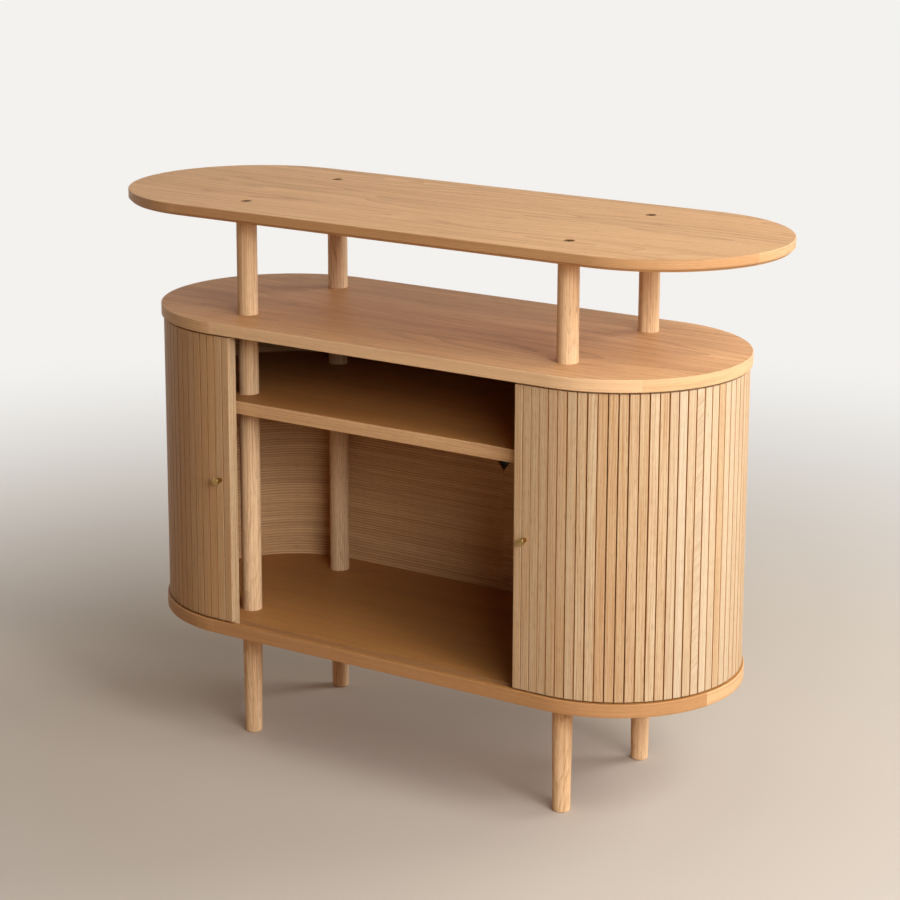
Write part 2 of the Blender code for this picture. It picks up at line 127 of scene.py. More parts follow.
def oakMaterial(name, look):
    material, shader = newMaterial(name)
    coords = addNode(material, "ShaderNodeTexCoord")
    if look["solid"]:  # the grain stands up through the piece, along Z
        parts = addNode(material, "ShaderNodeSeparateXYZ", {"Vector": coords.outputs["Object"]})
        turned = addNode(material, "ShaderNodeCombineXYZ",
                         {"X": parts.outputs["Z"], "Y": parts.outputs["X"], "Z": parts.outputs["Y"]})
        grain = turned.outputs["Vector"]
    else:  # UV in metres, U along the grain
        grain = coords.outputs["UV"]
    across = addNode(material, "ShaderNodeSeparateXYZ", {"Vector": grain}).outputs["Y"]

    # Glued planks: each one has its own stretch of grain and its own tone
    if look["plank"]:
        place = math2(material, "DIVIDE", across, look["plank"])
        number = addNode(material, "ShaderNodeMath", {0: place}, operation="FLOOR").outputs[0]
        chance = addNode(material, "ShaderNodeTexWhiteNoise", {"W": number}, noise_dimensions="1D")
        own = chance.outputs["Value"]
        jumpAlong, jumpAcross = oakLayers["plankJump"]
        jump = addNode(material, "ShaderNodeCombineXYZ", {"X": math2(material, "MULTIPLY", own, jumpAlong),
                                                          "Y": math2(material, "MULTIPLY", own, jumpAcross)})
        grain = addNode(material, "ShaderNodeVectorMath", {0: grain, 1: jump.outputs["Vector"]},
                        operation="ADD").outputs["Vector"]

    # Growth rings: lines that wander, and close into long flames where the field is steep
    field = noise(material, grain, look["field"], 1.5, 0.45)
    phase = math2(material, "ADD", math2(material, "MULTIPLY", across, look["rings"]),
                  math2(material, "MULTIPLY", field, look["swirl"]))
    ring = addNode(material, "ShaderNodeMath", {0: phase}, operation="FRACT").outputs[0]
    early = math2(material, "POWER", ramp(material, ring, 0.0, oakLayers["earlyShare"], 1.0, 0.0),
                  oakLayers["earlyPower"])
    patches = noise(material, grain, look["patch"], 1.0, 0.4)
    patch = ramp(material, patches, *oakLayers["patch"], oakLayers["patchLeast"])
    figure = math2(material, "MULTIPLY", early, patch)

    # Broad tone, fibres and pores
    tone = noise(material, grain, look["tone"], 2.0, 0.5)
    fibre = noise(material, grain, look["fibre"], 3.0, 0.6)
    dash = noise(material, grain, look["pore"], 1.0, 0.4)
    inRings = math2(material, "MULTIPLY", early, oakLayers["poreInRings"])
    pore = math2(material, "MULTIPLY", ramp(material, dash, *oakLayers["pore"]),
                 math2(material, "ADD", inRings, oakLayers["poreBetween"]))

    color = blendColors(material, ramp(material, tone, *oakLayers["tone"]), look["mid"], look["pale"])
    if look["plank"]:
        plankShade = math2(material, "MULTIPLY", own, look["plankDepth"])
        color = blendColors(material, plankShade, color, look["dark"])
    figureShade = math2(material, "MULTIPLY", figure, look["figureDepth"])
    color = blendColors(material, figureShade, color, look["dark"])
    for layer in ("band", "streak"):  # wide and fine stripes, darker and paler than the ground
        stripe = noise(material, grain, look[layer], 3.0, 0.6)
        for side, shade in ((1, "dark"), (-1, "pale")):
            reach = oakLayers["stripeMiddle"] + side * oakLayers["stripeReach"]
            depth = ramp(material, stripe, oakLayers["stripeMiddle"], reach, 0.0, look[layer + "Depth"])
            color = blendColors(material, depth, color, look[shade])
    fibreShade = ramp(material, fibre, *oakLayers["fibre"], 0.0, look["fibreDepth"])
    color = blendColors(material, fibreShade, color, look["dark"])
    poreShade = math2(material, "MULTIPLY", pore, look["poreDepth"])
    color = blendColors(material, poreShade, color, look["poreColor"])
    # The tint holds each piece's own tone, with painted shade and light in it on the doors and the edge
    # strips
    if look["tint"]:  # a value on each slat or edge strip
        tint = addNode(material, "ShaderNodeAttribute", attribute_name="tint").outputs["Fac"]
        for furthest, shade in ((1.0, "warm"), (0.0, "light")):
            depth = ramp(material, tint, plainTint, furthest, 0.0, look["tint"])
            color = blendColors(material, depth, color, look[shade])
    link(material, color, shader.inputs["Base Color"])

    rough = math2(material, "ADD", look["rough"], math2(material, "MULTIPLY", fibre, oakLayers["roughPlay"]))
    link(material, rough, shader.inputs["Roughness"])
    height = math2(material, "SUBTRACT", math2(material, "MULTIPLY", fibre, oakLayers["fibreHeight"]), pore)
    addBump(material, shader, look["bump"], oakLayers["bumpDepth"], height)
    shader.inputs["Specular IOR Level"].default_value = oakLayers["specular"]
    return material


oakBase = {
    "solid": False, "plank": 0.0, "plankDepth": 0.22, "tint": 0.0, "pale": (0.645, 0.385, 0.185),
    "mid": (0.545, 0.300, 0.132), "dark": (0.345, 0.155, 0.055), "poreColor": (0.20, 0.085, 0.03),
    "rings": 38.0, "swirl": 15.0, "field": (1.1, 9.0, 9.0), "patch": (1.3, 7.0, 7.0), "tone": (0.8, 9.0, 9.0),
    "band": (1.1, 95.0, 95.0), "streak": (3.0, 330.0, 330.0), "fibre": (14.0, 900.0, 900.0),
    "pore": (60.0, 2400.0, 2400.0), "figureDepth": 0.42, "bandDepth": 0.35, "streakDepth": 0.5,
    "fibreDepth": 0.35, "poreDepth": 0.7, "rough": 0.44, "bump": 0.4,
}
boardLook = {**oakBase, "plank": 0.094, "figureDepth": 0.55}
boardOak = oakMaterial("boardOak", {**boardLook, "pale": (0.75, 0.43, 0.20), "mid": (0.645, 0.34, 0.145)})
# Painted shade: a darker, deeper copy of the board oak for the floor and the shelf inside the cabinet
shadedInnerOak = oakMaterial("shadedInnerOak", {**boardLook, "pale": (0.47, 0.21, 0.056), "mid": (0.39, 0.162, 0.04)})
edgeOak = oakMaterial("edgeOak", {
    **oakBase, "rings": 260.0, "swirl": 9.0, "tint": 0.8, "warm": (0.34, 0.155, 0.055),
    "light": (0.76, 0.53, 0.32)})
postOak = oakMaterial("postOak", {
    **oakBase, "solid": True, "pale": (0.82, 0.565, 0.335), "mid": (0.72, 0.465, 0.245), "rings": 190.0,
    "swirl": 26.0, "field": (2.0, 22.0, 22.0), "patch": (2.0, 20.0, 20.0), "figureDepth": 0.5,
    "band": (2.0, 160.0, 160.0), "streak": (4.0, 420.0, 420.0)})
# The warm and light colours, reached through the tint, give the slats' own tone and the doors' painted shade
# and painted light
slatOak = oakMaterial("slatOak", {
    **oakBase, "pale": (0.582, 0.445, 0.28), "mid": (0.508, 0.357, 0.20), "rings": 230.0, "swirl": 12.0,
    "field": (1.4, 16.0, 16.0), "patch": (2.0, 30.0, 30.0), "figureDepth": 0.75, "band": (2.0, 200.0, 200.0),
    "streak": (5.0, 520.0, 520.0), "streakDepth": 0.8, "fibreDepth": 0.45, "poreDepth": 0.9, "tint": 0.75,
    "warm": (0.40, 0.185, 0.06), "light": (0.545, 0.485, 0.375)})
linerOak = oakMaterial("linerOak", {
    **oakBase, "pale": (0.73, 0.455, 0.23), "mid": (0.62, 0.355, 0.155), "dark": (0.27, 0.115, 0.04),
    "rings": 210.0, "swirl": 8.0, "field": (0.7, 5.0, 5.0), "patch": (0.8, 5.0, 5.0), "figureDepth": 0.9,
    "streak": (2.0, 420.0, 420.0)})

metalLayers = {"cloud": (180.0, 180.0, 180.0), "wear": (0.35, 0.7), "roughPlay": 0.16, "bump": 0.12,
               "bumpDepth": 0.0002}


def metalMaterial(name, look):
    material, shader = newMaterial(name)
    coords = addNode(material, "ShaderNodeTexCoord").outputs["Object"]
    cloud = noise(material, coords, metalLayers["cloud"], 3.0)
    turning = noise(material, coords, look["turning"], 2.0)
    color = blendColors(material, ramp(material, cloud, *metalLayers["wear"]), look["base"], look["worn"])
    link(material, color, shader.inputs["Base Color"])
    roughPlay = math2(material, "MULTIPLY", turning, metalLayers["roughPlay"])
    link(material, math2(material, "ADD", look["rough"], roughPlay), shader.inputs["Roughness"])
    addBump(material, shader, metalLayers["bump"], metalLayers["bumpDepth"], turning)
    shader.inputs["Metallic"].default_value = 1.0
    shader.inputs["Specular Tint"].default_value = (*look["grazing"], 1.0)
    return material


brass = metalMaterial("brass", {
    "base": (0.29, 0.178, 0.06), "worn": (0.47, 0.30, 0.11), "rough": 0.30, "grazing": (1.0, 0.85, 0.6),
    "turning": (400.0, 2500.0, 400.0)})
bronze = metalMaterial("bronze", {
    "base": (0.11, 0.068, 0.036), "worn": (0.19, 0.12, 0.065), "rough": 0.42, "grazing": (0.5, 0.34, 0.22),
    "turning": (900.0, 900.0, 900.0)})

canvasLook = {"threads": 900.0, "under": (0.30, 0.13, 0.05), "over": (0.42, 0.20, 0.085), "rough": 0.95,
              "bump": 0.5, "bumpDepth": 0.0002}
# Near black painted shade for the back stile, where it shows through the liner's seam and hole
paintedShadeLook = {"color": (0.03, 0.016, 0.009), "rough": 0.75, "specular": 0.2}


def canvasMaterial():
    material, shader = newMaterial("canvas")
    coords = addNode(material, "ShaderNodeTexCoord").outputs["UV"]
    parts = addNode(material, "ShaderNodeSeparateXYZ", {"Vector": coords})
    waves = []
    for axis in ("X", "Y"):
        angle = math2(material, "MULTIPLY", parts.outputs[axis], canvasLook["threads"] * math.pi)
        waves.append(addNode(material, "ShaderNodeMath", {0: angle}, operation="SINE").outputs[0])
    weave = ramp(material, math2(material, "MULTIPLY", *waves), -1.0, 1.0)
    color = blendColors(material, weave, canvasLook["under"], canvasLook["over"])
    link(material, color, shader.inputs["Base Color"])
    addBump(material, shader, canvasLook["bump"], canvasLook["bumpDepth"], weave)
    shader.inputs["Roughness"].default_value = canvasLook["rough"]
    return material


def paintedShadeMaterial():
    material, shader = newMaterial("paintedShade")
    shader.inputs["Base Color"].default_value = (*paintedShadeLook["color"], 1.0)
    shader.inputs["Roughness"].default_value = paintedShadeLook["rough"]
    shader.inputs["Specular IOR Level"].default_value = paintedShadeLook["specular"]
    return material


canvas = canvasMaterial()
paintedShade = paintedShadeMaterial()
print("materials made")


# Shared shaping

tiny, near = 1e-6, 1e-5  # metres: places that close are the same
sharpAngle = math.radians(38.0)
longEdge = 0.1  # metres: only upright edges are longer
faceOn, sideOn = 0.9, 0.1  # a normal's share along an axis that the face looks along, or lies along
grainMap = {"turn": 0.7, "endSlope": 0.15, "linerEndSlope": 0.3, "farthest": 40.0}


def finishPiece(name, bm, materials, body, nodes):
    bm.normal_update()
    mesh = bpy.data.meshes.new(name)
    bm.to_mesh(mesh)
    bm.free()
    for material in materials:
        mesh.materials.append(material)
    mesh.shade_smooth()
    mesh.set_sharp_from_angle(angle=sharpAngle)
    piece = bpy.data.objects.new(name, mesh)
    bpy.context.scene.collection.objects.link(piece)
    weighted = piece.modifiers.new("faceNormals", "WEIGHTED_NORMAL")
    weighted.keep_sharp = True
    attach(piece, body)
    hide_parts(*nodes)


def middleOf(node):
    low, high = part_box(node)
    return (low + high) / 2, (high - low) / 2


def ovalOf(node):
    low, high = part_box(node)
    radius = (high.y - low.y) / 2
    return (high.x - low.x) / 2 - radius, radius, low.z, high.z


def vertsOf(made):
    return [item for item in made if isinstance(item, bmesh.types.BMVert)]


def edgesOf(made):
    return [item for item in made if isinstance(item, bmesh.types.BMEdge)]


def carry(bm, vec):
    bmesh.ops.translate(bm, verts=bm.verts[:], vec=vec)


def layOver(bm, angle):
    turn = Matrix.Rotation(angle, 3, "X")
    bmesh.ops.rotate(bm, verts=bm.verts[:], cent=(0.0, 0.0, 0.0), matrix=turn)


def faceOutwards(bm):
    bm.normal_update()
    bmesh.ops.recalc_face_normals(bm, faces=bm.faces[:])


def loopEdges(ring):
    # Each edge once, in the order met, so that every run fills the loop the same way
    return list(dict.fromkeys(edge for vert in ring for edge in vert.link_edges))


def startOval(bm, straight, radius, z, segments):
    # A circle pulled apart in the middle; its flats are at the full radius
    place = Matrix.Translation((0.0, 0.0, z)) @ Matrix.Rotation(math.pi / segments, 4, "Z")
    ring = bmesh.ops.create_circle(bm, cap_ends=False, segments=segments,
                                   radius=radius / math.cos(math.pi / segments), matrix=place)["verts"]
    for side in (1, -1):
        half = [vert for vert in ring if vert.co.x * side > 0]
        bmesh.ops.translate(bm, verts=half, vec=(side * straight, 0.0, 0.0))
    return loopEdges(ring)


def growOval(bm, edges, straight, radius, z):
    # Draw the loop out to a new radius and height, and hand back its new edges
    made = bmesh.ops.extrude_edge_only(bm, edges=edges)["geom"]
    for vert in vertsOf(made):
        spine = Vector((max(-straight, min(straight, vert.co.x)), 0.0, 0.0))
        outward = Vector((vert.co.x - spine.x, vert.co.y, 0.0)).normalized()
        vert.co = spine + outward * radius + Vector((0.0, 0.0, z))
    return edgesOf(made)


def circle(bm, x, y, z, radius, segments):
    ring = bmesh.ops.create_circle(bm, cap_ends=False, segments=segments, radius=radius,
                                   matrix=Matrix.Translation((x, y, z)))["verts"]
    return loopEdges(ring)


def lengthen(bm, edges, vec):
    made = bmesh.ops.extrude_edge_only(bm, edges=edges)["geom"]
    bmesh.ops.translate(bm, verts=vertsOf(made), vec=vec)
    return edgesOf(made)


def raiseFaces(bm, geom, vec):
    made = bmesh.ops.extrude_face_region(bm, geom=geom)["geom"]
    bmesh.ops.translate(bm, verts=vertsOf(made), vec=vec)


def fill(bm, *loops):
    edges = [edge for loop in loops for edge in loop]
    bmesh.ops.triangle_fill(bm, use_beauty=True, use_dissolve=False, edges=edges)


def longEdges(bm, test):
    # Upright edges whose place passes a test
    return [edge for edge in bm.edges if edge.calc_length() > longEdge and test(edge.verts[0].co)]


def soften(bm, edges, offset, steps):
    bmesh.ops.bevel(bm, geom=edges, offset=offset, segments=steps, affect="EDGES", profile=0.5, material=-1)


def aroundOval(point, straight, radius):
    # Distance along the outline, from the middle of the front to either side
    if abs(point.x) <= straight:
        if point.y < 0:
            return point.x
        return math.copysign(2 * straight + math.pi * radius - abs(point.x), point.x)
    turn = math.atan2(abs(point.x) - straight, -point.y)
    return math.copysign(straight + turn * radius, point.x)


def spun(bm, profile, steps):
    # Turn a profile of (radius, height) points about Z
    verts = [bm.verts.new((radius, 0.0, height)) for radius, height in profile]
    edges = [bm.edges.new(pair) for pair in zip(verts, verts[1:])]
    bmesh.ops.spin(bm, geom=verts + edges, cent=(0.0, 0.0, 0.0), axis=(0.0, 0.0, 1.0), angle=2 * math.pi,
                   steps=steps, use_merge=True)
    bmesh.ops.remove_doubles(bm, verts=bm.verts[:], dist=tiny)
    faceOutwards(bm)


def roundCorner(radius, edge, height, steps, up=1):
    # Points of a quarter round from a flat face out to the side
    points = []
    for step in range(steps + 1):
        turn = math.pi / 2 * step / steps
        points.append((edge - radius + radius * math.sin(turn), height - up * radius * (1 - math.cos(turn))))
    return points


# Boards

# Seams are distances round the edge from the middle of the front, and tints go with the strips between them.
# The tints are partly each strip's own tone and partly painted shade and light: deeper on the fronts of the
# raised top and the bottom board, as painted shade, and paler on the cabinet top's front and right and on the
# bottom board's right end, as painted light
boards = {
    "raised_top": {"oak": boardOak, "chamfer": 0.005, "shift": 0.0, "seams": (-0.66, -0.33, 0.66),
                   "tints": (0.62, 0.74, 0.85, 0.66)},
    "cabinet_top": {"oak": boardOak, "groove": "under", "shift": 1.7, "seams": (-0.55, -0.30, 0.47),
                    "tints": (0.5, 0.4, 0.27, 0.36)},
    "bottom_board": {"oak": shadedInnerOak, "groove": "over", "shift": 3.1, "seams": (-0.50, -0.31, 0.60),
                     "tints": (0.62, 0.8, 0.9, 0.4)},
    "shelf": {"oak": shadedInnerOak, "shift": 4.6, "seams": (-0.40, 0.40), "tints": (0.5, 0.42, 0.5)},
}
boardShape = {"segments": 192, "round": 0.0014, "roundSteps": 4, "lip": 0.010, "grooveWidth": 0.0135,
              "grooveDepth": 0.007, "holeSegments": 40, "holeGap": 0.0003, "boltSeat": 0.0024}
corners = ("front_left", "front_right", "rear_left", "rear_right")


def mapBoard(bm, straight, radius, look):
    # Grain along X on the faces, and round the outline on the edge, which is built up of strips
    bm.normal_update()
    uv = bm.loops.layers.uv.new("grain")
    tint = bm.faces.layers.float.new("tint")
    whole = 4 * straight + 2 * math.pi * radius
    shift = look["shift"]
    for face in bm.faces:
        flat = abs(face.normal.z) > faceOn
        middle = aroundOval(face.calc_center_median(), straight, radius)
        strip = sum(1 for seam in look["seams"] if middle > seam)
        face.material_index = 0 if flat else 1
        face[tint] = look["tints"][strip]
        for loop in face.loops:
            spot = loop.vert.co
            if flat:
                loop[uv].uv = (spot.x + shift, spot.y + shift)
                continue
            along = aroundOval(spot, straight, radius)
            along -= whole * round((along - middle) / whole)
            loop[uv].uv = (along + shift + strip, spot.z - shift + strip)


def buildBoard(node, look):
    straight, radius, low, high = ovalOf(node)
    shape = boardShape
    bm = bmesh.new()
    upper = roundCorner(shape["round"], radius, high, shape["roundSteps"])
    if "chamfer" in look:
        lower = [(radius, low + look["chamfer"]), (radius - look["chamfer"], low)]
    else:
        lower = roundCorner(shape["round"], radius, low, shape["roundSteps"], -1)[::-1]
    upperRim = startOval(bm, straight, *upper[0], shape["segments"])
    lowerRim = upperRim
    for reach, z in upper[1:] + lower:
        lowerRim = growOval(bm, lowerRim, straight, reach, z)

    # The doors' groove, in the face that looks into the cabinet
    if "groove" in look:
        isOver = look["groove"] == "over"
        face, sink = (high, -1) if isOver else (low, 1)
        sunk = face + sink * shape["grooveDepth"]
        outer = radius - shape["lip"]
        inner = outer - shape["grooveWidth"]
        rim = upperRim if isOver else lowerRim
        for reach, z in ((outer, face), (outer, sunk), (inner, sunk), (inner, face)):
            rim = growOval(bm, rim, straight, reach, z)
        upperRim, lowerRim = (rim, lowerRim) if isOver else (upperRim, rim)

    # Holes for the posts, or seats for the bolts of the raised top
    upperHoles, lowerHoles = [], []
    isTop = node == "raised_top"
    for corner in corners:
        middle, half = middleOf(("top_bolt_" if isTop else "post_") + corner)
        hole = circle(bm, middle.x, middle.y, high, half.x + shape["holeGap"], shape["holeSegments"])
        upperHoles.append(hole)
        if isTop:
            fill(bm, lengthen(bm, hole, (0.0, 0.0, -shape["boltSeat"])))
        else:
            lowerHoles.append(lengthen(bm, hole, (0.0, 0.0, low - high)))
    fill(bm, upperRim, *upperHoles)
    fill(bm, lowerRim, *lowerHoles)
    faceOutwards(bm)
    mapBoard(bm, straight, radius, look)
    finishPiece(node + "_oak", bm, [look["oak"], edgeOak], "cabinet", [node])


for boardNode, boardPlan in boards.items():
    buildBoard(boardNode, boardPlan)
print("boards made")


# Posts and the bolts of the raised top

post = {"footDia": 0.029, "footChamfer": 0.0015, "topRound": 0.0006, "steps": 56}
bolt = {"headThick": 0.0018, "shank": 0.0038, "socket": 0.005, "socketDepth": 0.0033, "edge": 0.0003,
        "steps": 40}


def buildPost(corner):
    node = "post_" + corner
    middle, half = middleOf(node)
    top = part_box(node)[1].z
    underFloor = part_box("bottom_board")[0].z
    foot, footChamfer, topRound = post["footDia"] / 2, post["footChamfer"], post["topRound"]
    profile = [(0.0, top), (half.x - topRound, top), (half.x, top - topRound), (half.x, underFloor),
               (foot, footChamfer), (foot - footChamfer, 0.0), (0.0, 0.0)]
    bm = bmesh.new()
    spun(bm, profile, post["steps"])
    carry(bm, (middle.x, middle.y, 0.0))
    finishPiece("post_oak_" + corner, bm, [postOak], "cabinet", [node])


def makeFastener(bm, head, length, plan):
    # A flat head at height 0 with a six-sided socket, and a plain shank below it
    shank, headLow = plan["shank"], -plan["headThick"]
    rim = circle(bm, 0.0, 0.0, 0.0, head - plan["edge"], plan["steps"])
    socket = circle(bm, 0.0, 0.0, 0.0, plan["socket"] / math.sqrt(3), 6)
    fill(bm, rim, socket)
    fill(bm, lengthen(bm, socket, (0.0, 0.0, -plan["socketDepth"])))
    for radius, z in ((head, -plan["edge"]), (head, headLow), (shank, headLow), (shank, -length)):
        rim = growOval(bm, rim, 0.0, radius, z)
    fill(bm, rim)
    faceOutwards(bm)


def buildBolt(corner):
    node = "top_bolt_" + corner
    middle, half = middleOf(node)
    low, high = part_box(node)
    bm = bmesh.new()
    makeFastener(bm, half.x, high.z - low.z, bolt)
    carry(bm, (middle.x, middle.y, high.z))
    finishPiece("bolt_" + corner, bm, [bronze], "cabinet", [node])


for postCorner in corners:
    buildPost(postCorner)
    buildBolt(postCorner)
print("posts and bolts made")


# Bent liner, and the shape that it shares with the stile behind its seam

liner = {"thick": 0.0045, "bendSteps": 72, "shift": 6.0,
         "hole": {"half": 0.012, "tall": 0.016, "height": 0.453}}


def flatHalf(bm, seam, width, y, low, high, hole):
    # The right half of a flat panel, round its half of the four-cornered cable hole
    half, middle = hole["half"], hole["height"]
    reach = hole["tall"] * (1 - seam / half)
    tip = bm.verts.new((half, y, middle))
    over, under = [bm.verts.new((seam, y, z)) for z in (middle + reach, middle - reach)]
    topSeam, topMiddle, topEnd = [bm.verts.new((x, y, high)) for x in (seam, half, width)]
    lowSeam, lowMiddle, lowEnd = [bm.verts.new((x, y, low)) for x in (seam, half, width)]
    for outline in ((lowMiddle, lowEnd, topEnd, topMiddle, tip), (over, tip, topMiddle, topSeam),
                    (lowSeam, lowMiddle, tip, under)):
        bmesh.ops.contextual_create(bm, geom=outline)


def thicken(bm, thick):
    raiseFaces(bm, bm.faces[:], (0.0, thick, 0.0))
    faceOutwards(bm)


def mapLiner(bm, straight, radius, shift):
    # Grain round the bend; the top and bottom edges step across it
    bm.normal_update()
    uv = bm.loops.layers.uv.new("grain")
    for face in bm.faces:
        slope = grainMap["linerEndSlope"] if abs(face.normal.z) > grainMap["turn"] else 0.0
        for loop in face.loops:
            spot = loop.vert.co
            loop[uv].uv = (aroundOval(spot, straight, radius) + shift, spot.z + slope * spot.y)


def buildLiner(label, side):
    low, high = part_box("liner_" + label)
    straight = ovalOf("cabinet_top")[0]
    inner = high.y - liner["thick"]
    seam = min(abs(low.x), abs(high.x))
    bm = bmesh.new()
    flatHalf(bm, seam, straight, inner, low.z, high.z, liner["hole"])
    thicken(bm, liner["thick"])
    # The bend round the end
    ends = [face for face in bm.faces
            if face.normal.x > faceOn and face.calc_center_median().x > straight - near]
    bmesh.ops.spin(bm, geom=ends, cent=(straight, 0.0, 0.0), axis=(0.0, 0.0, 1.0), angle=-math.pi,
                   steps=liner["bendSteps"])
    if side < 0:
        bmesh.ops.scale(bm, verts=bm.verts[:], vec=(-1.0, 1.0, 1.0))
    bmesh.ops.remove_doubles(bm, verts=bm.verts[:], dist=tiny)
    faceOutwards(bm)
    mapLiner(bm, straight, inner, liner["shift"] + side)
    finishPiece("liner_oak_" + label, bm, [linerOak], "cabinet", ["liner_" + label])


buildLiner("left", -1)
buildLiner("right", 1)
print("liner made")


# Tambour doors

# Tints run from the stile to the round end. They are painted shade and light: deeper and warmer on the left
# door, as painted shade, and paler towards the right door's round end, as painted light
tambour = {
    "pitch": 0.0149, "pairSlats": 2, "endSlats": 22, "tailSlats": 3, "groupGap": (0.0006, 0.00095),
    "closeGap": (0.0002, 0.0006), "openShare": 0.3, "thick": 0.011, "taper": 0.0001, "canvas": 0.0005,
    "canvasFill": 0.9, "inset": 0.004, "tongueDepth": 0.0045, "soft": 0.0006, "softSteps": 2,
    "depthPlay": 0.00012, "sideTurn": 0.3, "gapShadeTint": 1.0, "tintSpread": 0.075,
    "tints": {"left": (0.77, 0.72), "right": (0.62, 0.36)},
}
shoulders = {"low": 0.0028, "high": 0.0033}
slantedSlat = {"place": ("right_slats_09", 1), "angle": math.radians(48.0)}  # cut across the grain's run

caseStraight, caseRadius, caseLow = ovalOf("cabinet_top")[:3]
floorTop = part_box("bottom_board")[1].z
doorFace = caseRadius - tambour["inset"]
neutral = doorFace - tambour["thick"] - tambour["canvas"]
shoulderLow = floorTop + shoulders["low"]
shoulderHigh = caseLow - shoulders["high"]


def trackPlace(distance, side):
    # Place on the canvas line, a distance along the track from the middle of the front
    if distance <= caseStraight:
        x, y, turn = distance, -neutral, 0.0
    elif distance <= caseStraight + math.pi * neutral:
        turn = (distance - caseStraight) / neutral
        x, y = caseStraight + neutral * math.sin(turn), -neutral * math.cos(turn)
    else:
        x, y, turn = 2 * caseStraight + math.pi * neutral - distance, neutral, math.pi
    return Matrix.Translation((side * x, y, 0.0)) @ Matrix.Rotation(side * turn, 4, "Z")


def standUp(bm, outline):
    # Stand a flat plan up between the shoulders
    base = bm.faces.new([bm.verts.new((x, y, shoulderLow)) for x, y in outline])
    raiseFaces(bm, [base], (0.0, 0.0, shoulderHigh - shoulderLow))
    faceOutwards(bm)


def drawTongues(bm, front, low, high):
    # Split the ends behind the shoulder line and draw the rear part out to the node's own ends
    bmesh.ops.bisect_plane(bm, geom=bm.verts[:] + bm.edges[:] + bm.faces[:], plane_co=(0.0, front, 0.0),
                           plane_no=(0.0, 1.0, 0.0), dist=tiny / 10)
    bm.normal_update()
    for direction, shoulder, end in ((-1, shoulderLow, low), (1, shoulderHigh, high)):
        ends = []
        for face in bm.faces:
            middle = face.calc_center_median()
            if face.normal.z * direction > faceOn and middle.y > front and abs(middle.z - shoulder) < near:
                ends.append(face)
        rims = list(dict.fromkeys(edge for face in ends for edge in face.edges))
        raiseFaces(bm, ends + rims, (0.0, 0.0, end - shoulder))
    faceOutwards(bm)


def mapUpright(bm, shift, slant=0.0):
    # Grain up Z; each face reads its own strip across
    bm.normal_update()
    slope, lean = math.cos(slant), math.sin(slant)
    uv = bm.loops.layers.uv.new("grain")
    for face in bm.faces:
        normal = face.normal
        for loop in face.loops:
            spot = loop.vert.co
            if abs(normal.z) > grainMap["turn"]:
                along, across = grainMap["endSlope"] * spot.y, spot.x
            elif abs(normal.y) > grainMap["turn"]:
                along, across = spot.z * slope + spot.x * lean, spot.x * slope - spot.z * lean
            else:
                along, across = spot.z, math.copysign(spot.y, normal.x)
            loop[uv].uv = (along + shift, across + shift)


def slatMesh(low, high, leftGap, rightGap, shade, slant):
    # One slat on the canvas line, facing -Y
    bm = bmesh.new()
    face = tambour["canvas"] + tambour["thick"] + draw.uniform(-1, 0) * tambour["depthPlay"]
    back = tambour["canvas"]
    sides = []
    for side, gap in ((-1, leftGap), (1, rightGap)):
        half = (tambour["pitch"] - gap) / 2
        sides.append([(side * half, -back), (side * (half - tambour["taper"]), -face)])
    standUp(bm, sides[0] + sides[1][::-1])
    soften(bm, longEdges(bm, lambda spot: spot.y < -face + tiny), tambour["soft"], tambour["softSteps"])
    drawTongues(bm, -back - tambour["tongueDepth"], low, high)
    mapUpright(bm, draw.uniform(0.0, grainMap["farthest"]), slant)
    tint = bm.faces.layers.float.new("tint")
    bm.normal_update()
    for slatFace in bm.faces:  # painted shade: the sides and the eased edges are tinted deeper than the face, for the shade in the gaps
        isSide = abs(slatFace.normal.x) > tambour["sideTurn"]
        slatFace[tint] = tambour["gapShadeTint"] if isSide else max(0.0, min(1.0, shade))
    return bm


def joinInto(target, source, place):
    bmesh.ops.transform(source, matrix=place, verts=source.verts[:])
    mesh = bpy.data.meshes.new("joined")
    source.to_mesh(mesh)
    source.free()
    target.from_mesh(mesh)
    bpy.data.meshes.remove(mesh)


def canvasStrip(start, count, side):
    # The cloth behind a group of slats, from the first slat's edge to the last one's
    bm = bmesh.new()
    half = (tambour["pitch"] - tambour["groupGap"][1]) / 2
    verts = []
    for number in range(count):
        place = trackPlace(start + (number + 0.5) * tambour["pitch"], side)
        for across in (-half, half):
            verts.append(bm.verts.new(place @ Vector((side * across, -tambour["canvas"], shoulderLow))))
    edges = [bm.edges.new(pair) for pair in zip(verts, verts[1:])]
    lengthen(bm, edges, (0.0, 0.0, shoulderHigh - shoulderLow))
    faceOutwards(bm)
    inwards = trackPlace(start + count * tambour["pitch"] / 2, side).to_3x3() @ Vector((0.0, 1.0, 0.0))
    if sum(face.normal.dot(inwards) for face in bm.faces) > 0:
        bmesh.ops.reverse_faces(bm, faces=bm.faces[:])
    bmesh.ops.solidify(bm, geom=bm.faces[:], thickness=tambour["canvas"] * tambour["canvasFill"])
    faceOutwards(bm)
    uv = bm.loops.layers.uv.new("grain")
    tint = bm.faces.layers.float.new("tint")
    for face in bm.faces:
        face.material_index = 1
        face[tint] = plainTint
        for loop in face.loops:
            loop[uv].uv = (loop.vert.co.x + loop.vert.co.y, loop.vert.co.z)
    return bm


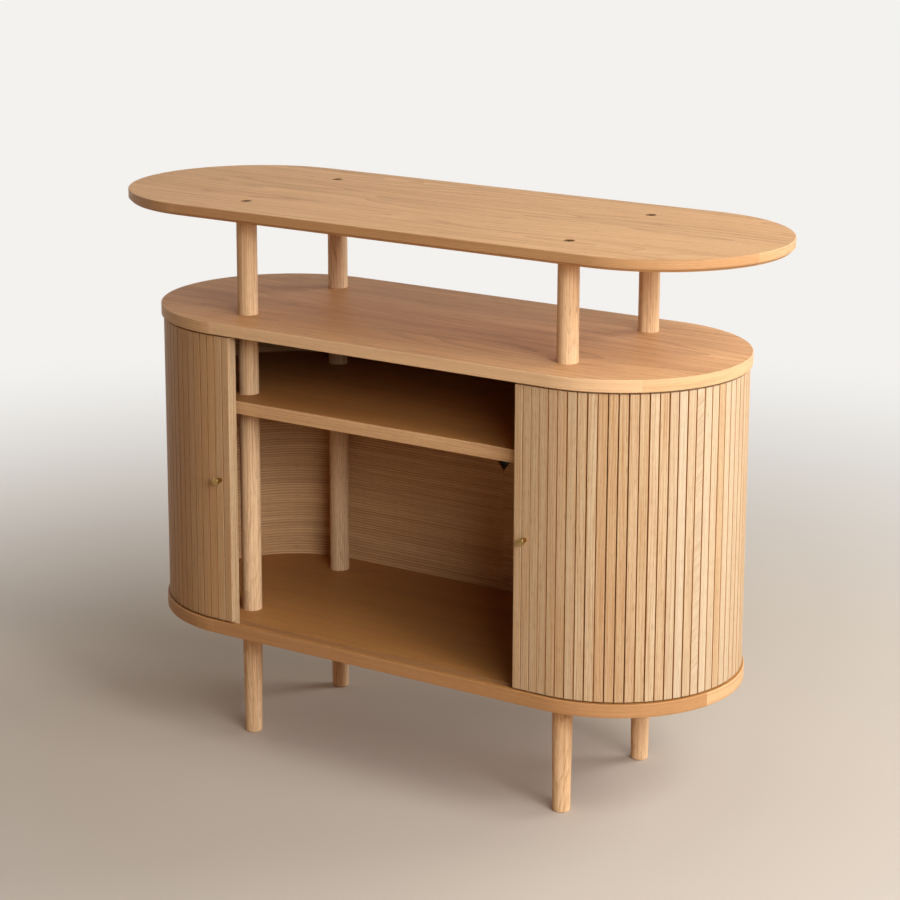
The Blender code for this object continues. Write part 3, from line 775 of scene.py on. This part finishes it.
def buildSlats(node, label, side, start, count, share):
    low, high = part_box(node)
    bodies = frame["record"]["behaviour"]["bodies"]
    body = next(name for name, members in bodies.items() if node in members)
    bm = bmesh.new()
    # The group's mean tint carries the painted shade and light; the spread about it is the slats' own tone
    first, last = tambour["tints"][label]
    groupShade = draw.gauss(first + (last - first) * share, tambour["tintSpread"] / 2)
    gapAfter = draw.uniform(*tambour["groupGap"])  # the joint to the group before
    for number in range(count):
        gapBefore = gapAfter
        isLast = number == count - 1
        isWide = isLast or (count > tambour["tailSlats"] and draw.random() < tambour["openShare"])
        gapAfter = draw.uniform(*tambour["groupGap" if isWide else "closeGap"])
        gaps = (gapBefore, gapAfter) if side > 0 else (gapAfter, gapBefore)
        shade = draw.gauss(groupShade, tambour["tintSpread"])
        slant = slantedSlat["angle"] if (node, number) == slantedSlat["place"] else 0.0
        slat = slatMesh(low.z, high.z, *gaps, shade, slant)
        joinInto(bm, slat, trackPlace(start + (number + 0.5) * tambour["pitch"], side))
    joinInto(bm, canvasStrip(start, count, side), Matrix.Identity(4))
    finishPiece(node + "_oak", bm, [slatOak, canvas], body, [node])


stile = {"pitches": 2, "thick": 0.019, "tongueDepth": 0.0125, "lineDepth": 0.003, "lineHalf": 0.0009,
         "leadRound": 0.0022, "leadSteps": 5, "leadTurn": 0.5, "leadTint": 0.52, "soft": 0.0005,
         "softSteps": 2}


def buildStile(label, side, edge):
    node = label + "_stile"
    low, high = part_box(node)
    width = high.x - low.x
    middle = stile["pitches"] * tambour["pitch"] / 2
    face, back = -doorFace, -doorFace + stile["thick"]
    line, leadRound = stile["lineHalf"], stile["leadRound"]
    bm = bmesh.new()
    standUp(bm, [(0.0, back), (0.0, face), (middle - line, face), (middle, face + stile["lineDepth"]),
                 (middle + line, face), (width, face), (width, back)])
    lead = longEdges(bm, lambda spot: spot.x < tiny and spot.y < face + tiny)
    soften(bm, lead, leadRound, stile["leadSteps"])
    others = longEdges(bm, lambda spot: spot.x > leadRound + near and spot.y < face + tiny)
    soften(bm, others, stile["soft"], stile["softSteps"])
    drawTongues(bm, back - stile["tongueDepth"], low.z, high.z)
    mapUpright(bm, draw.uniform(0.0, grainMap["farthest"]))
    tint = bm.faces.layers.float.new("tint")
    for stileFace in bm.faces:  # painted shade and light: the front takes the door's tint with its painted shade, and the leading side stays paler
        isLead = stileFace.normal.x < -stile["leadTurn"] and stileFace.calc_center_median().x < leadRound
        stileFace[tint] = stile["leadTint"] if isLead else tambour["tints"][label][0]
    if side < 0:
        bmesh.ops.scale(bm, verts=bm.verts[:], vec=(-1.0, 1.0, 1.0))
        bmesh.ops.reverse_faces(bm, faces=bm.faces[:])
    carry(bm, (side * edge, 0.0, 0.0))
    finishPiece(node + "_oak", bm, [slatOak], label + "_door", [node])


knob = {"head": 0.0065, "rim": 0.0026, "edge": 0.0006, "edgeSteps": 4, "undercut": 0.0008,
        "undercutDepth": 0.0006, "neck": 0.004, "neckSteps": 6, "neckSweep": 2.2, "steps": 48}
screw = {"headThick": 0.0022, "shank": 0.002, "socket": 0.0025, "socketDepth": 0.0013, "edge": 0.0008,
         "steps": 32}


def buildKnob(label):
    node = label + "_knob"
    low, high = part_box(node)
    middle = (low + high) / 2
    length = high.y - low.y
    underHead = length - knob["rim"]
    neckTop = underHead - knob["undercutDepth"]
    flare = knob["head"] - knob["undercut"] - knob["neck"]
    profile = [(0.0, length), *roundCorner(knob["edge"], knob["head"], length, knob["edgeSteps"]),
               (knob["head"], underHead), (knob["head"] - knob["undercut"], neckTop)]
    for step in range(1, knob["neckSteps"] + 1):  # the neck sweeps in under the head
        left = 1 - step / knob["neckSteps"]
        profile.append((knob["neck"] + flare * left ** knob["neckSweep"], neckTop * left))
    profile.append((0.0, 0.0))
    bm = bmesh.new()
    spun(bm, profile, knob["steps"])
    layOver(bm, math.pi / 2)
    carry(bm, (middle.x, high.y, middle.z))
    finishPiece(label + "_knob_brass", bm, [brass], label + "_door", [node])


def buildScrew(label):
    node = label + "_knob_screw"
    middle, half = middleOf(node)
    low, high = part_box(node)
    bm = bmesh.new()
    makeFastener(bm, half.x, high.y - low.y, screw)
    layOver(bm, -math.pi / 2)
    carry(bm, (middle.x, high.y, middle.z))
    finishPiece(node + "_steel", bm, [bronze], label + "_door", [node])


def buildDoor(label, side):
    low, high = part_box(label + "_stile")
    edge = low.x if side > 0 else -high.x
    buildStile(label, side, edge)
    buildKnob(label)
    buildScrew(label)
    pairs = sorted(node for node in frame["nodes"] if node.startswith(label + "_slats_"))
    tails = sorted(node for node in frame["nodes"] if node.startswith(label + "_tail_slats_"))
    groups = [(node, tambour["pairSlats"]) for node in pairs]
    groups.append((label + "_end_slats", tambour["endSlats"]))
    groups += [(node, tambour["tailSlats"]) for node in tails]
    start = edge + stile["pitches"] * tambour["pitch"]
    for number, (node, count) in enumerate(groups):
        buildSlats(node, label, side, start, count, min(1.0, number / len(pairs)))
        start += count * tambour["pitch"]


backStile = {"hole": {"half": 0.0075, "tall": 0.010, "height": 0.453}, "soft": 0.0008, "softSteps": 3}


def buildBackStile():
    low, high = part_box("back_stile")
    bm = bmesh.new()
    flatHalf(bm, 0.0, high.x, low.y, low.z, high.z, backStile["hole"])
    bmesh.ops.mirror(bm, geom=bm.verts[:] + bm.edges[:] + bm.faces[:], axis="X", merge_dist=tiny)
    thicken(bm, high.y - low.y)
    rims = longEdges(bm, lambda spot: abs(spot.x) > high.x - tiny and spot.y > high.y - tiny)
    soften(bm, rims, backStile["soft"], backStile["softSteps"])
    mapUpright(bm, draw.uniform(0.0, grainMap["farthest"]))
    tint = bm.faces.layers.float.new("tint")
    bm.normal_update()
    for face in bm.faces:  # painted shade: near black where it shows through the seam and the hole
        face[tint] = plainTint
        nearHole = abs(face.calc_center_median().x) < backStile["hole"]["half"]
        if face.normal.y < -faceOn or (nearHole and abs(face.normal.y) < sideOn):
            face.material_index = 1
    finishPiece("back_stile_oak", bm, [slatOak, paintedShade], "cabinet", ["back_stile"])


buildDoor("left", -1)
buildDoor("right", 1)
buildBackStile()
print("doors and back stile made")


# Floor, light and camera

stage = {"radius": 14.0, "segments": 96, "cloud": (1.5, 1.5, 1.5), "near": (0.45, 0.375, 0.305),
         "nearAlso": (0.485, 0.41, 0.335), "bounce": (0.48, 0.31, 0.18), "far": (0.90, 0.885, 0.86),
         "rough": 0.8, "fadeStart": 0.5, "fadeEnd": 3.0}


def seenDirectly(tree):
    # 1 for rays from the camera, off a mirror or through glass, and 0 for the rest
    rays = tree.nodes.new("ShaderNodeLightPath")
    seen = rays.outputs["Is Camera Ray"]
    for other in ("Is Glossy Ray", "Is Transmission Ray"):
        either = tree.nodes.new("ShaderNodeMath")
        either.operation = "MAXIMUM"
        tree.links.new(seen, either.inputs[0])
        tree.links.new(rays.outputs[other], either.inputs[1])
        seen = either.outputs[0]
    return seen


def floorMaterial():
    material, shader = newMaterial("paleFloor")
    coords = addNode(material, "ShaderNodeTexCoord").outputs["Object"]
    cloud = noise(material, coords, stage["cloud"], 3.0)
    color = blendColors(material, cloud, stage["near"], stage["nearAlso"])
    seen = seenDirectly(material.node_tree)
    # It throws back no more light than a wood floor
    color = blendColors(material, seen, stage["bounce"], color)
    link(material, color, shader.inputs["Base Color"])
    shader.inputs["Roughness"].default_value = stage["rough"]
    # The floor runs out into a pale wall, so it has no horizon
    reach = addNode(material, "ShaderNodeVectorMath", {0: coords}, operation="LENGTH").outputs["Value"]
    fade = addNode(material, "ShaderNodeMapRange",
                   {"Value": reach, "From Min": stage["fadeStart"], "From Max": stage["fadeEnd"]},
                   interpolation_type="SMOOTHSTEP")
    share = math2(material, "MULTIPLY", fade.outputs["Result"], seen)
    wall = addNode(material, "ShaderNodeEmission", {"Color": (*stage["far"], 1.0), "Strength": 1.0})
    mix = addNode(material, "ShaderNodeMixShader",
                  {0: share, 1: shader.outputs["BSDF"], 2: wall.outputs["Emission"]})
    output = material.node_tree.nodes["Material Output"]
    link(material, mix.outputs["Shader"], output.inputs["Surface"])
    return material


def buildStage():
    bm = bmesh.new()
    bmesh.ops.create_circle(bm, cap_ends=True, segments=stage["segments"], radius=stage["radius"])
    mesh = bpy.data.meshes.new("floor")
    bm.to_mesh(mesh)
    bm.free()
    mesh.materials.append(floorMaterial())
    floor = bpy.data.objects.new("floor", mesh)
    bpy.context.scene.collection.objects.link(floor)


lamps = {
    "window": {"place": (3.06, -0.62, 3.11), "aim": (0.0, 0.0, 0.55), "size": (2.0, 2.0), "power": 130.0,
               "color": (0.94, 0.975, 1.0)},
    "lowWindow": {"place": (3.12, -2.04, 1.90), "aim": (0.0, 0.0, 0.55), "size": (2.6, 1.1), "power": 138.0,
                  "color": (0.95, 0.975, 1.0)},
    "wallBounce": {"place": (1.7, 1.9, 1.5), "aim": (0.0, 0.0, 0.6), "size": (1.6, 1.6), "power": 56.0,
                   "color": (0.90, 0.965, 1.0)},
    "leftBounce": {"place": (-2.4, 0.4, 1.3), "aim": (0.0, 0.0, 0.55), "size": (1.8, 1.6), "power": 9.5,
                   "color": (1.0, 0.82, 0.62)},
}


def buildLamps():
    for name, lamp in lamps.items():
        data = bpy.data.lights.new(name, "AREA")
        data.shape = "RECTANGLE"
        data.size, data.size_y = lamp["size"]
        data.energy = lamp["power"]
        data.color = lamp["color"]
        light = bpy.data.objects.new(name, data)
        light.location = lamp["place"]
        aim = Vector(lamp["aim"]) - Vector(lamp["place"])
        light.rotation_mode = "QUATERNION"
        light.rotation_quaternion = aim.to_track_quat("-Z", "Y")
        bpy.context.scene.collection.objects.link(light)


room = {"color": (1.0, 0.64, 0.36), "strength": 0.07}


def buildWorld():
    world = bpy.data.worlds.new("room")
    world.use_nodes = True
    bpy.context.scene.world = world
    nodes, links = world.node_tree.nodes, world.node_tree.links
    dim = nodes["Background"]
    dim.inputs["Color"].default_value = (*room["color"], 1.0)
    dim.inputs["Strength"].default_value = room["strength"]
    wall = nodes.new("ShaderNodeBackground")
    wall.inputs["Color"].default_value = (*stage["far"], 1.0)
    wall.inputs["Strength"].default_value = 1.0
    mix = nodes.new("ShaderNodeMixShader")
    links.new(seenDirectly(world.node_tree), mix.inputs["Fac"])
    links.new(dim.outputs["Background"], mix.inputs[1])
    links.new(wall.outputs["Background"], mix.inputs[2])
    links.new(mix.outputs["Shader"], nodes["World Output"].inputs["Surface"])


camera = {"place": (2.2212, -3.421, 1.6609), "yaw": 0.5801, "pitch": 0.231, "roll": 0.0018,
          "focalPixels": 2555.3, "imagePixels": 900.0, "sensor": 36.0, "centreColumn": 434.75,
          "centreRow": 342.0}


def buildCamera():
    data = bpy.data.cameras.new("camera")
    data.sensor_width = camera["sensor"]
    data.lens = camera["focalPixels"] / camera["imagePixels"] * camera["sensor"]
    data.shift_x = 0.5 - camera["centreColumn"] / camera["imagePixels"]
    data.shift_y = camera["centreRow"] / camera["imagePixels"] - 0.5
    viewer = bpy.data.objects.new("camera", data)
    viewer.location = camera["place"]
    turn = Matrix.Rotation(camera["yaw"], 4, "Z") @ Matrix.Rotation(math.pi / 2 - camera["pitch"], 4, "X")
    viewer.rotation_mode = "QUATERNION"
    viewer.rotation_quaternion = (turn @ Matrix.Rotation(camera["roll"], 4, "Z")).to_quaternion()
    bpy.context.scene.collection.objects.link(viewer)
    bpy.context.scene.camera = viewer


buildStage()
buildLamps()
buildWorld()
buildCamera()
bpy.context.scene.view_settings.view_transform = "Standard"
print("stage, lamps and camera set")
